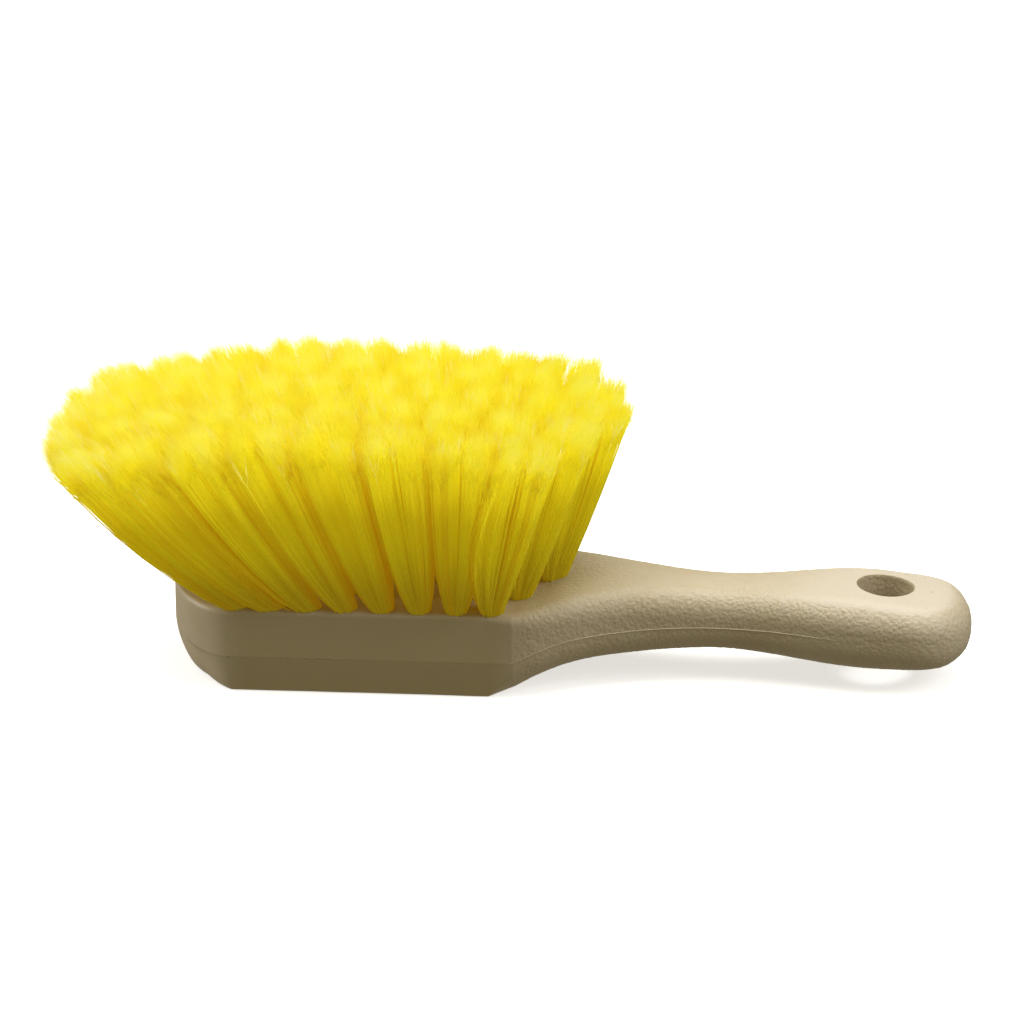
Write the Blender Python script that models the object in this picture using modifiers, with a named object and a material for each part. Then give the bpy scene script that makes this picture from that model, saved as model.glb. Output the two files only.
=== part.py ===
"""Short-handled wheel brush: one moulded block and handle, and 47 staple-set bristle tufts.

Metres, +Z up.  The brush lies on the flat back of its block with the bristles up.
+X runs from the nose to the handle, and Y is across.  The origin is under the middle
of the brush's length, on its plane of symmetry, level with the back of the block.
"""
import math

import bmesh
import bpy
from mathutils import Matrix, Vector

MM = 0.001

# Whole brush
HALF_LENGTH = 126.5 * MM          # bristle tips over the nose to the end of the handle, halved
FIT_GAP = 0.3 * MM                # clearance between pieces that touch on the real brush

# Block, the part that carries the bristles
BLOCK_HEIGHT = 24.0 * MM
BLOCK_HALF_WIDTH = 28.0 * MM      # at the mould's parting line
BLOCK_BACK_HALF_WIDTH = 26.6 * MM
BLOCK_FACE_HALF_WIDTH = 27.7 * MM
BLOCK_PARTING_Z = 10.8 * MM
BLOCK_BACK_X = (-71.2 * MM, -3.0 * MM)    # ends of the flat back
BLOCK_SIDE_X = (-73.6 * MM, 4.0 * MM)     # ends of the flat sides, at the parting line
BLOCK_DRAFT = (BLOCK_HALF_WIDTH - BLOCK_FACE_HALF_WIDTH, BLOCK_HALF_WIDTH - BLOCK_BACK_HALF_WIDTH)
FACE_EDGE = 1.8 * MM              # rounding round the bristle face
BACK_EDGE = 0.9 * MM              # rounding round the back

# Nose
NOSE_X = -92.6 * MM
NOSE_POWER = 1.75                 # 2 is an ellipse, less is more pointed
NOSE_BACK_LIFT = 4.2 * MM         # how far the back curves up at the tip
NOSE_PARTING_RISE = 2.2 * MM
NOSE_BACK_EDGE = (7.0 * MM, 8.5 * MM)     # rounding under the nose, across and up
NOSE_WALL = 0.25                  # share of the height under the parting line that is left at the tip
NOSE_ROUNDING_RATE = 2.5          # how soon the rounding under the nose reaches its full size
NOSE_STEPS = 9

# Handle: x, half width, top, bottom, parting line, then how far the rounding of the
# top and of the bottom goes in across and in height
HANDLE_STATIONS = [
    (4.0, 28.0, 24.0, 1.2, 10.6, 2.6, 2.6, 9.0, 9.0),
    (10.0, 26.2, 24.7, 3.9, 13.0, 4.6, 4.4, 9.8, 9.0),
    (17.0, 23.0, 26.0, 5.9, 15.0, 6.0, 5.8, 9.6, 8.6),
    (26.0, 18.7, 26.7, 7.0, 15.7, 6.6, 6.6, 8.6, 8.2),
    (38.0, 14.5, 26.5, 7.6, 16.0, 6.6, 7.0, 7.6, 7.6),
    (50.0, 12.4, 25.7, 8.1, 16.1, 6.4, 7.0, 7.0, 7.0),
    (60.0, 12.0, 25.2, 8.2, 16.1, 6.4, 7.0, 7.0, 7.0),
    (72.0, 13.4, 25.4, 7.2, 16.1, 7.0, 7.4, 8.0, 7.8),
    (86.0, 16.6, 25.8, 5.7, 15.9, 8.0, 7.8, 10.0, 8.6),
    (98.0, 18.6, 25.5, 5.0, 15.3, 8.6, 7.8, 11.0, 8.6),
    (110.0, 18.9, 24.2, 4.8, 14.6, 8.6, 7.6, 11.0, 8.4),
    (126.5, 18.9, 22.4, 5.0, 13.9, 8.6, 7.2, 11.0, 7.8),
]
HANDLE_CROWN = 0.5 * MM           # the top is a little higher along the middle
CROWN_RUN_IN = 20.0 * MM          # length of the shoulders over which the crown comes in
HANDLE_RING_STEP = 4.0 * MM
END_ROUND_X = 17.5 * MM           # length of the rounded end in plan
END_PLAN_POWER = 2.3
END_EDGE_X = 9.5 * MM             # length of the rounding of the end in side view
END_EDGE_POWER = 2.4
END_STEPS = 8
HANG_HOLE_X = 102.6 * MM
HANG_HOLE_RADIUS = 7.7 * MM
HANG_HOLE_LEAN = math.radians(7.0)
HANG_HOLE_RIM = 1.2 * MM          # rounding round both ends of the hang hole
HANG_HOLE_SIDES = 28
HANG_CUTTER_OVERRUN = 6.0 * MM
RIM_STEPS = 3
HANDLE_DRAFT = 0.3 * MM           # narrowing of the handle's sides away from the parting line
CORNER_STEPS = 4                  # facets in each rounded corner of a section
CORNER_SHARE = 0.88               # most of a section's half width or height that a rounding takes
DRAFT_SHARE = 0.1                 # most of a section's half width that the draft takes
LAST_RING = 0.995                 # how near to a tip the last ring of a loft is, as an angle

# Bristle tufts: across, first and last hole along X, number of tufts
TUFT_ROWS = {
    "row1": (-24.0, -71.5, -1.5, 8),
    "row2": (-12.0, -80.8, 4.7, 10),
    "row3": (0.0, -85.8, 12.2, 11),
    "row4": (12.0, -80.8, 4.7, 10),
    "row5": (24.0, -71.5, -1.5, 8),
}
# Ends of a row along X at its tips, by the row's distance across
TIP_REACH = {0.0: (-126.5, 35.0), 12.0: (-124.5, 27.8), 24.0: (-118.8, 19.0)}
TIP_END_HALF = (6.5 * MM, 7.5 * MM)       # half of the first and of the last tuft along X
TIP_CROWDING = 0.25               # how much closer together the heads are over the nose
TIP_ROW_SPREAD = 17.6 / 12.0      # distance between rows at the tips over that at the holes
TIP_HALF_ROW = 8.4 * MM           # half of a tuft across, at the tips
TIP_GAP = 0.4 * MM                # from a tuft's head to the line between it and the next
TIP_PEAK = (-48.6 * MM, 80.2 * MM)        # where along X the tips are highest, and how high
TIP_FALL = (2.3, 1.05)            # fall towards the nose and the handle is this times distance squared
TIP_FALL_ACROSS = 1.5             # the same, across
HOLE_RADIUS = 2.75 * MM
HOLE_DEPTH = 13.0 * MM
TUFT_RADIUS = 2.35 * MM
TUFT_SIDES = 12
HEAD_POWER = 4.0                  # shape of a tuft's head: 2 is an ellipse, more is squarer

COLOURS = {
    "block_plastic": ((0.72, 0.63, 0.46), 0.5),
    "bristle": ((0.93, 0.80, 0.03), 0.45),
}


def clear_scene():
    for item in list(bpy.data.objects):
        bpy.data.objects.remove(item, do_unlink=True)


def new_collection(name):
    group = bpy.data.collections.new(name)
    bpy.context.scene.collection.children.link(group)
    return group


def new_material(name, colour, roughness):
    material = bpy.data.materials.new(name)
    material.use_nodes = True
    shader = material.node_tree.nodes["Principled BSDF"]
    shader.inputs["Base Color"].default_value = (*colour, 1.0)
    shader.inputs["Roughness"].default_value = roughness
    shader.inputs["Metallic"].default_value = 0.0
    return material


def object_from_bmesh(name, shape, group):
    mesh = bpy.data.meshes.new(name)
    bmesh.ops.recalc_face_normals(shape, faces=shape.faces)
    shape.to_mesh(mesh)
    shape.free()
    item = bpy.data.objects.new(name, mesh)
    group.objects.link(item)
    return item


def loft(name, rings, group):
    """A closed body through rings that all have the same number of points."""
    shape = bmesh.new()
    rows = [[shape.verts.new(point) for point in ring] for ring in rings]
    count = len(rings[0])
    for lower, upper in zip(rows, rows[1:]):
        for i in range(count):
            j = (i + 1) % count
            shape.faces.new((lower[i], lower[j], upper[j], upper[i]))
    shape.faces.new(rows[0])
    shape.faces.new(rows[-1])
    return object_from_bmesh(name, shape, group)


def closing(distance, length, power):
    """1 before a rounded end starts, falling to 0 at its tip along a superellipse."""
    share = min(max(distance / length, 0.0), 1.0)
    return (1.0 - share ** power) ** (1.0 / power)


def corner(centre, reach, start):
    """Quarter of an ellipse about centre, from the angle start, turning clockwise."""
    points = []
    for i in range(CORNER_STEPS + 1):
        angle = start - i * math.pi / 2.0 / CORNER_STEPS
        points.append((centre[0] + reach[0] * math.cos(angle), centre[1] + reach[1] * math.sin(angle)))
    return points


def section(x, half, top, bottom, parting, upper, lower, draft, crown=0.0):
    """Ring of points at x.  half is at the parting line; upper and lower are the reaches of
    the corner roundings, and draft the narrowing above and below the parting line.  Near a
    tip, where the section is small, the roundings and the draft shrink with it."""
    upper = (min(upper[0], half * CORNER_SHARE), min(upper[1], (top - parting) * CORNER_SHARE))
    lower = (min(lower[0], half * CORNER_SHARE), min(lower[1], (parting - bottom) * CORNER_SHARE))
    wide_up = half - min(draft[0], half * DRAFT_SHARE)
    wide_down = half - min(draft[1], half * DRAFT_SHARE)
    side = [(0.0, top + crown)]
    side += corner((wide_up - upper[0], top - upper[1]), upper, math.pi / 2.0)
    side += [(half, parting)]
    side += corner((wide_down - lower[0], bottom + lower[1]), lower, 0.0)
    side += [(0.0, bottom)]
    other = [(-y, z) for y, z in reversed(side[1:-1])]
    return [(x, y, z) for y, z in side + other]


def smooth_value(rows, column, x):
    """Cubic through one column of a table whose first column is x."""
    last = len(rows) - 2
    at = max(i for i in range(last + 1) if rows[i][0] <= x or i == 0)

    def slope(i):
        before, after = max(i - 1, 0), min(i + 1, last + 1)
        return (rows[after][column] - rows[before][column]) / (rows[after][0] - rows[before][0])

    span = rows[at + 1][0] - rows[at][0]
    t = (x - rows[at][0]) / span
    start, end = rows[at][column], rows[at + 1][column]
    return ((2 * t ** 3 - 3 * t ** 2 + 1) * start + (t ** 3 - 2 * t ** 2 + t) * span * slope(at)
            + (3 * t ** 2 - 2 * t ** 3) * end + (t ** 3 - t ** 2) * span * slope(at + 1))


def nose_rings():
    """From the tip of the nose back to the flat sides."""
    rings = []
    length = BLOCK_SIDE_X[0] - NOSE_X
    for i in range(NOSE_STEPS):
        angle = math.pi / 2.0 * (1.0 - i / NOSE_STEPS) * LAST_RING
        share = math.sin(angle)
        x = BLOCK_SIDE_X[0] - length * share
        half = BLOCK_HALF_WIDTH * closing(share, 1.0, NOSE_POWER)
        parting = BLOCK_PARTING_Z + NOSE_PARTING_RISE * share ** 2
        bottom = NOSE_BACK_LIFT * share ** 2
        from_tip = x - NOSE_X
        top = BLOCK_HEIGHT - FACE_EDGE * (1.0 - closing(FACE_EDGE - from_tip, FACE_EDGE, 2.0))
        back = closing(NOSE_BACK_EDGE[1] - from_tip, NOSE_BACK_EDGE[1], 2.0)
        bottom = parting - (parting - bottom) * (NOSE_WALL + (1.0 - NOSE_WALL) * back)
        rounding = min(share * NOSE_ROUNDING_RATE, 1.0)
        lower = [BACK_EDGE + (reach - BACK_EDGE) * rounding for reach in NOSE_BACK_EDGE]
        rings.append(section(x, half, top, bottom, parting, (FACE_EDGE, FACE_EDGE), lower,
                             BLOCK_DRAFT))
    return rings


def block_rings():
    """The straight part of the block, whose two ends lean because the back is shorter."""
    return [section(x, BLOCK_HALF_WIDTH, BLOCK_HEIGHT, 0.0, BLOCK_PARTING_Z,
                    (FACE_EDGE, FACE_EDGE), (BACK_EDGE, BACK_EDGE), BLOCK_DRAFT)
            for x in (BLOCK_SIDE_X[0], BLOCK_BACK_X[0], BLOCK_BACK_X[1])]


def handle_rings():
    """Shoulders, neck and rounded end, from the end of the flat sides."""
    start = HANDLE_STATIONS[0][0] * MM
    round_from = HALF_LENGTH - END_ROUND_X
    steps = round((round_from - start) / HANDLE_RING_STEP)
    places = [start + (round_from - start) * i / steps for i in range(steps + 1)]
    for i in range(1, END_STEPS + 1):
        places.append(round_from + END_ROUND_X * math.sin(math.pi / 2.0 * LAST_RING * i / END_STEPS))
    rings = []
    for x in places:
        half, top, bottom, parting, up_y, up_z, low_y, low_z = (
            smooth_value(HANDLE_STATIONS, column, x / MM) * MM for column in range(1, 9))
        half *= closing(x - round_from, END_ROUND_X, END_PLAN_POWER)
        rounding = closing(x - HALF_LENGTH + END_EDGE_X, END_EDGE_X, END_EDGE_POWER)
        top = parting + (top - parting) * rounding
        bottom = parting - (parting - bottom) * rounding
        crown = HANDLE_CROWN * min((x - start) / CROWN_RUN_IN, 1.0) * rounding
        rings.append(section(x, half, top, bottom, parting, (up_y, up_z), (low_y, low_z),
                             (HANDLE_DRAFT, HANDLE_DRAFT), crown))
    return rings


def tip_height(x, y):
    fall = TIP_FALL[0] if x < TIP_PEAK[0] else TIP_FALL[1]
    return TIP_PEAK[1] - fall * (x - TIP_PEAK[0]) ** 2 - TIP_FALL_ACROSS * y ** 2


def tip_of(across, share):
    """Middle of a tuft's head, for its row's distance across and its share of the row."""
    reach = [end * MM for end in TIP_REACH[abs(across)]]
    first, last = reach[0] + TIP_END_HALF[0], reach[1] - TIP_END_HALF[1]
    x = first + (last - first) * (share - TIP_CROWDING * share * (1.0 - share) ** 2)
    y = across * MM * TIP_ROW_SPREAD
    return Vector((x, y, tip_height(x, y)))


def row_layout(row):
    """Each tuft of a row as its hole's mouth, its tip and its head's ends along X."""
    across, first, last, count = row
    bases, tips = [], []
    for i in range(count):
        share = i / (count - 1)
        base = Vector(((first + (last - first) * share) * MM, across * MM, BLOCK_HEIGHT))
        bases.append(base)
        tips.append(tip_of(across, share))
    edges = [tips[0].x - TIP_END_HALF[0] - TIP_GAP]
    edges += [(a.x + b.x) / 2.0 for a, b in zip(tips, tips[1:])]
    edges += [tips[-1].x + TIP_END_HALF[1] + TIP_GAP]
    return [(bases[i], tips[i], (edges[i] + TIP_GAP, edges[i + 1] - TIP_GAP)) for i in range(count)]


def circle_about(centre, axis, radius, sides):
    """Ring across an axis, starting on the +X side, so that lofts don't twist."""
    across = Vector((0.0, 1.0, 0.0)).cross(axis).normalized()
    other = axis.cross(across).normalized()
    ring = []
    for i in range(sides):
        angle = 2.0 * math.pi * i / sides
        ring.append(centre + across * radius * math.cos(angle) + other * radius * math.sin(angle))
    return ring


def head_ring(tip, ends):
    """Rounded-square outline of a tuft's head, following the trimmed height."""
    middle, half = (ends[0] + ends[1]) / 2.0, (ends[1] - ends[0]) / 2.0
    ring = []
    for i in range(TUFT_SIDES):
        angle = 2.0 * math.pi * i / TUFT_SIDES
        c, s = math.cos(angle), math.sin(angle)
        x = middle + half * math.copysign(abs(c) ** (2.0 / HEAD_POWER), c)
        y = tip.y + TIP_HALF_ROW * math.copysign(abs(s) ** (2.0 / HEAD_POWER), s)
        ring.append(Vector((x, y, tip_height(x, y))))
    return ring


def make_tuft(name, base, tip, ends, group):
    axis = (tip - base).normalized()
    lean = math.acos(axis.z)
    deepest = base - axis * (HOLE_DEPTH - FIT_GAP)
    clear_of_face = base + axis * (HOLE_RADIUS * math.tan(lean) + FIT_GAP)
    rings = [circle_about(deepest, axis, TUFT_RADIUS, TUFT_SIDES),
             circle_about(clear_of_face, axis, TUFT_RADIUS, TUFT_SIDES),
             head_ring(tip, ends)]
    return loft(name, rings, group)


def make_hole_cutter(name, base, tip, group):
    axis = (tip - base).normalized()
    across = Vector((0.0, 1.0, 0.0)).cross(axis).normalized()
    turn = Matrix((across, axis.cross(across), axis)).transposed().to_4x4()
    shape = bmesh.new()
    bmesh.ops.create_cone(shape, cap_ends=True, segments=TUFT_SIDES, radius1=HOLE_RADIUS,
                          radius2=HOLE_RADIUS, depth=2.0 * HOLE_DEPTH,
                          matrix=Matrix.Translation(base) @ turn)
    return object_from_bmesh(name, shape, group)


def hang_hole_profile(half_height):
    """Half section of the hang hole, on the axis at both ends, rounded out at both faces."""
    wide = HANG_HOLE_RADIUS + HANG_HOLE_RIM * 1.5
    profile = [(0.0, half_height + HANG_CUTTER_OVERRUN), (wide, half_height + HANG_CUTTER_OVERRUN)]
    for i in range(RIM_STEPS + 1):
        angle = math.pi / 2.0 * i / RIM_STEPS
        profile.append((HANG_HOLE_RADIUS + (wide - HANG_HOLE_RADIUS) * (1.0 - math.sin(angle)),
                        half_height + HANG_HOLE_RIM * (0.5 - 1.5 * (1.0 - math.cos(angle)))))
    return profile + [(radius, -height) for radius, height in reversed(profile)]


def make_hang_hole_cutter(group):
    """A round bar that widens at both faces of the handle to round the hole's rims."""
    top, bottom = (smooth_value(HANDLE_STATIONS, column, HANG_HOLE_X / MM) * MM for column in (2, 3))
    top += HANDLE_CROWN
    profile = hang_hole_profile((top - bottom) / 2.0)
    points = [(radius, 0.0, height) for radius, height in profile]
    edges = [(i, i + 1) for i in range(len(points) - 1)]
    mesh = bpy.data.meshes.new("hang_hole_cutter")
    mesh.from_pydata(points, edges, [])
    cutter = bpy.data.objects.new("hang_hole_cutter", mesh)
    cutter.location = (HANG_HOLE_X, 0.0, (top + bottom) / 2.0)
    cutter.rotation_euler = (0.0, HANG_HOLE_LEAN, 0.0)
    group.objects.link(cutter)
    turned = cutter.modifiers.new("turned", "SCREW")
    turned.axis = "Z"
    turned.angle = 2.0 * math.pi
    turned.steps = HANG_HOLE_SIDES
    turned.render_steps = HANG_HOLE_SIDES
    turned.use_merge_vertices = True
    turned.merge_threshold = 0.01 * MM
    return cutter


def make_handle_block(group, cutters):
    block = loft("handle_block", nose_rings() + block_rings() + handle_rings(), group)
    cut = block.modifiers.new("holes", "BOOLEAN")
    cut.operation = "DIFFERENCE"
    cut.operand_type = "COLLECTION"
    cut.collection = cutters
    cut.solver = "EXACT"
    block.data.shade_smooth()
    block.data.set_sharp_from_angle(angle=math.radians(30.0))
    return block


def main():
    clear_scene()
    brush = new_collection("wheel_brush")
    cutters = new_collection("cutters")
    materials = {name: new_material(name, *look) for name, look in COLOURS.items()}
    for row_name, row in TUFT_ROWS.items():
        for number, (base, tip, ends) in enumerate(row_layout(row), start=1):
            name = f"{row_name}_{number:02d}"
            tuft = make_tuft(f"tuft_{name}", base, tip, ends, brush)
            tuft.data.materials.append(materials["bristle"])
            make_hole_cutter(f"hole_{name}", base, tip, cutters)
    make_hang_hole_cutter(cutters)
    for cutter in cutters.objects:
        cutter.hide_render = True
        cutter.display_type = "WIRE"
    block = make_handle_block(brush, cutters)
    block.data.materials.append(materials["block_plastic"])


main()
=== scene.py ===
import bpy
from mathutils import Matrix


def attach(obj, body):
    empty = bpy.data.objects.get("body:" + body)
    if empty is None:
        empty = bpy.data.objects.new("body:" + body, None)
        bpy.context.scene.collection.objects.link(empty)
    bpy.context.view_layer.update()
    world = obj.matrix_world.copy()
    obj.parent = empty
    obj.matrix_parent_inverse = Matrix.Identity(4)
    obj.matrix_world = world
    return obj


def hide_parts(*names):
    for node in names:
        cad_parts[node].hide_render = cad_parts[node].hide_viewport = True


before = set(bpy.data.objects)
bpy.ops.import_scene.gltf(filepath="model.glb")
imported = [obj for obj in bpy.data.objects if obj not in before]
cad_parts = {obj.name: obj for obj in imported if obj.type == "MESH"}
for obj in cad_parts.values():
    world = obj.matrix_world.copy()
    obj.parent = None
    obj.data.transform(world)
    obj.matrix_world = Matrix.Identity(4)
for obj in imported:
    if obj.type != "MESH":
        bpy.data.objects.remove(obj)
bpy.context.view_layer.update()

import math

import bpy
import numpy as np
from mathutils import Matrix, Vector, noise

mm = 0.001
scene = bpy.context.scene
scene.view_settings.view_transform = "Standard"    # bright yellow keeps its colour


# camera: long lens, looking down from in front and a little to the right
camera = {
    "target": (1.4 * mm, 0.0, 43.6 * mm),
    "distance": 2182 * mm,
    "down": math.radians(20.85),
    "turn": math.radians(7.73),
    "roll": math.radians(-1.33),
    "lens": 280.7, "sensor": 36.0,         # mm
    "clipEnd": 50.0,                       # metres
}


def makeCamera():
    down, turn, roll = camera["down"], camera["turn"], camera["roll"]
    forward = Vector((-math.sin(turn) * math.cos(down), math.cos(turn) * math.cos(down), -math.sin(down)))
    right = Vector((math.cos(turn), math.sin(turn), 0.0))
    up = right.cross(forward)
    rolledRight = right * math.cos(roll) + up * math.sin(roll)
    rolledUp = up * math.cos(roll) - right * math.sin(roll)
    bpy.ops.object.camera_add()
    eye = bpy.context.object
    eye.data.sensor_width = camera["sensor"]
    eye.data.lens = camera["lens"]
    eye.data.clip_end = camera["clipEnd"]
    turned = Matrix((rolledRight, rolledUp, -forward)).transposed().to_4x4()
    place = Vector(camera["target"]) - forward * camera["distance"]
    eye.matrix_world = Matrix.Translation(place) @ turned
    scene.camera = eye


makeCamera()
print("camera placed")


# shader sums
class Sum:                       # wraps a socket, so that shader maths reads as plain sums
    def __init__(self, finish, out):
        self.finish, self.out = finish, out

    def maths(self, operation, first, second=0.0):
        return self.finish.node("ShaderNodeMath", {"operation": operation}, {0: first, 1: second})

    def __add__(self, other):
        return self.maths("ADD", self, other)

    def __sub__(self, other):
        return self.maths("SUBTRACT", self, other)

    def __rsub__(self, other):
        return self.maths("SUBTRACT", other, self)

    def __mul__(self, other):
        return self.maths("MULTIPLY", self, other)

    def __abs__(self):
        return self.maths("ABSOLUTE", self)

    __radd__, __rmul__ = __add__, __mul__


class Finish:                    # one material and its nodes
    def __init__(self, name, sockets):
        self.material = bpy.data.materials.new(name)
        self.material.use_nodes = True
        self.tree = self.material.node_tree
        self.shader = self.tree.nodes["Principled BSDF"]
        self.feed(self.shader, sockets)

    def feed(self, node, sockets):
        for key, value in sockets.items():
            if isinstance(value, Sum):
                self.tree.links.new(value.out, node.inputs[key])
            else:
                node.inputs[key].default_value = value

    def node(self, kind, settings, sockets, out=0):
        made = self.tree.nodes.new(kind)
        for key, value in settings.items():
            setattr(made, key, value)
        self.feed(made, sockets)
        return Sum(self, made.outputs[out])

    def split(self, vector, count):         # the first parts of a vector
        parts = self.node("ShaderNodeSeparateXYZ", {}, {0: vector})
        return [Sum(self, parts.out.node.outputs[i]) for i in range(count)]

    def step(self, value, low, high):       # 0 at low, 1 at high, smooth between
        return self.node("ShaderNodeMapRange", {"interpolation_type": "SMOOTHSTEP"},
                         {0: value, 1: low, 2: high, 3: 0.0, 4: 1.0})

    def blend(self, factor, first, second):
        return self.node("ShaderNodeMix", {"data_type": "RGBA"}, {0: factor, 6: first, 7: second}, 2)

    def bump(self, height, distance):
        return self.node("ShaderNodeBump", {}, {"Strength": 1.0, "Distance": distance, "Height": height})


def selectOnly(piece):
    bpy.ops.object.select_all(action="DESELECT")
    piece.select_set(True)
    bpy.context.view_layer.objects.active = piece


def readMesh(piece):             # its points, and its faces as triangles
    piece.data.calc_loop_triangles()
    points = np.empty(len(piece.data.vertices) * 3)
    piece.data.vertices.foreach_get("co", points)
    faces = np.empty(len(piece.data.loop_triangles) * 3, dtype=np.int32)
    piece.data.loop_triangles.foreach_get("vertices", faces)
    return points.reshape(-1, 3), faces.reshape(-1, 3)


# block and handle: one moulding, with its sizes in mm
block = {
    "height": 24.0, "halfWidth": 28.0, "draft": (0.3, 1.4), "partingZ": 10.8,
    "backX": (-71.2, -3.0),      # ends of the flat back
    "sideX": (-73.6, 4.0),       # ends of the flat sides
    "faceEdge": 1.8, "backEdge": 0.9,
    "noseX": -92.6, "nosePower": 1.75, "noseLift": 4.2, "nosePartingRise": 2.2,
    "noseEdge": (7.0, 8.5), "noseWall": 0.25, "noseRoundingRate": 2.5,
    "sideStartRings": 3, "noseRings": 44, "blockRings": 112, "shoulderRings": 14,
}
handle = {
    # the last four columns are the rounding, across and down at the top, then across and up at the bottom
    "columns": ("x", "half", "top", "bottom", "parting", "topAcross", "topDown", "lowAcross", "lowUp"),
    "stations": (
        (4.0, 28.0, 24.0, 1.2, 10.6, 2.6, 2.6, 9.0, 9.0),
        (10.0, 26.2, 24.7, 3.9, 13.0, 4.6, 4.4, 9.8, 9.0),
        (17.0, 23.0, 26.0, 5.9, 15.0, 6.0, 5.8, 9.6, 8.6),
        (26.0, 18.7, 26.7, 7.0, 15.7, 6.6, 6.6, 8.6, 8.2),
        (38.0, 14.5, 26.5, 7.6, 16.0, 6.6, 7.0, 7.6, 7.6),
        (50.0, 12.4, 25.7, 8.1, 16.1, 6.4, 7.0, 7.0, 7.0),
        (60.0, 12.0, 25.2, 8.2, 16.1, 6.4, 7.0, 7.0, 7.0),
        (72.0, 13.4, 25.4, 7.2, 16.1, 7.0, 7.4, 8.0, 7.8),
        (86.0, 16.6, 25.8, 5.7, 15.9, 8.0, 7.8, 10.0, 8.6),
        (98.0, 18.6, 25.5, 5.0, 15.3, 8.6, 7.8, 11.0, 8.6),
        (110.0, 18.9, 24.2, 4.8, 14.6, 8.6, 7.6, 11.0, 8.4),
        (126.5, 18.9, 22.4, 5.0, 13.9, 8.6, 7.2, 11.0, 7.8),
    ),
    "endX": 126.5, "endRound": 17.5, "endPower": 2.3, "endEdge": 9.5, "endEdgePower": 2.4,
    "crown": 0.5, "crownRunIn": 20.0, "draft": (0.05, 0.05),
    "rings": 230, "endRings": 40,
}
ring = {
    "top": 17, "corner": 13, "wall": 9, "bottom": 15,    # points along each part of a section
    "roundingMost": 0.88, "draftMost": 0.1, "ridgeMost": 0.2,    # as shares of the size they take from
    "lip": 0.01,                 # the walls start this far inside the parting line
    "lastRing": 0.999,           # how near the rings come to the nose's tip and to the handle's end
    "weld": 0.0005,
}


def closing(distance, length, power):       # 1 at no distance, 0 at the full length, along a rounded curve
    share = min(max(distance / length, 0.0), 1.0)
    return (1.0 - share ** power) ** (1.0 / power)


def quarter(centre, reach, start):
    angles = start - np.linspace(0.0, math.pi / 2.0, ring["corner"])
    return np.stack((centre[0] + reach[0] * np.cos(angles), centre[1] + reach[1] * np.sin(angles)), 1)


def run(first, last, count):     # points from first up to, but not at, last
    return np.linspace(first, last, count, endpoint=False)


def section(x, half, top, bottom, parting, upper, lower, draft, crown=0.0):
    most = ring["roundingMost"]
    upper = (min(upper[0], half * most), min(upper[1], (top - parting) * most))
    lower = (min(lower[0], half * most), min(lower[1], (parting - bottom) * most))
    wideUp = half - min(draft[0], half * ring["draftMost"])
    wideDown = half - min(draft[1], half * ring["draftMost"])
    topCorner = quarter((wideUp - upper[0], top - upper[1]), upper, math.pi / 2.0)
    lowCorner = quarter((wideDown - lower[0], bottom + lower[1]), lower, 0.0)
    flatTop = run((0.0, top), topCorner[0], ring["top"])
    rise = 1.0 - (flatTop[:, 0] / max(topCorner[0][0], 1e-6)) ** 2      # the crown along the middle
    flatTop[:, 1] += crown * rise
    ridgeHalf = min(surface["ridgeHalf"], (top - parting) * ring["ridgeMost"])
    upperEnd = np.array((half - (wideUp < half) * ring["lip"], parting + ridgeHalf))
    lowerEnd = np.array((half - (wideDown < half) * ring["lip"], parting - ridgeHalf))
    side = np.concatenate((
        flatTop,
        topCorner[:-1],
        run(topCorner[-1], upperEnd, ring["wall"]),
        run(upperEnd, (half, parting), 2),
        run((half, parting), lowerEnd, 2),
        run(lowerEnd, lowCorner[0], ring["wall"]),
        lowCorner[:-1],
        run(lowCorner[-1], (0.0, bottom), ring["bottom"]),
        ((0.0, bottom),)))
    other = side[-2:0:-1] * (-1.0, 1.0)
    return np.insert(np.concatenate((side, other)), 0, x, axis=1)


def stationAt(name, x):          # smooth curve through one column of the stations
    column, stations = handle["columns"].index(name), handle["stations"]
    last = len(stations) - 2
    at = max(i for i in range(last + 1) if stations[i][0] <= x or i == 0)

    def slope(i):
        before, after = stations[max(i - 1, 0)], stations[min(i + 1, last + 1)]
        return (after[column] - before[column]) / (after[0] - before[0])

    width = stations[at + 1][0] - stations[at][0]
    t = (x - stations[at][0]) / width
    start, end = stations[at][column], stations[at + 1][column]
    return ((2 * t ** 3 - 3 * t ** 2 + 1) * start + (t ** 3 - 2 * t ** 2 + t) * width * slope(at)
            + (3 * t ** 2 - 2 * t ** 3) * end + (t ** 3 - t ** 2) * width * slope(at + 1))


def noseRings():
    rings = []
    sideX, parting0 = block["sideX"][0], block["partingZ"]
    for i in range(block["noseRings"]):
        share = math.sin(math.pi / 2.0 * (1.0 - i / block["noseRings"]) * ring["lastRing"])
        x = sideX - (sideX - block["noseX"]) * share
        half = block["halfWidth"] * closing(share, 1.0, block["nosePower"])
        parting = parting0 + block["nosePartingRise"] * share ** 2
        fromTip = x - block["noseX"]
        faceEdge, reach = block["faceEdge"], block["noseEdge"]
        top = block["height"] - faceEdge * (1.0 - closing(faceEdge - fromTip, faceEdge, 2.0))
        back = closing(reach[1] - fromTip, reach[1], 2.0)
        bottom = parting - (parting - block["noseLift"] * share ** 2) * (
            block["noseWall"] + (1.0 - block["noseWall"]) * back)
        rounding = min(share * block["noseRoundingRate"], 1.0)
        lower = [block["backEdge"] + (r - block["backEdge"]) * rounding for r in reach]
        rings.append(section(x, half, top, bottom, parting, (faceEdge, faceEdge), lower, block["draft"]))
    return rings


def blockRing(x):
    return section(x, block["halfWidth"], block["height"], 0.0, block["partingZ"],
                   (block["faceEdge"],) * 2, (block["backEdge"],) * 2, block["draft"])


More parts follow.
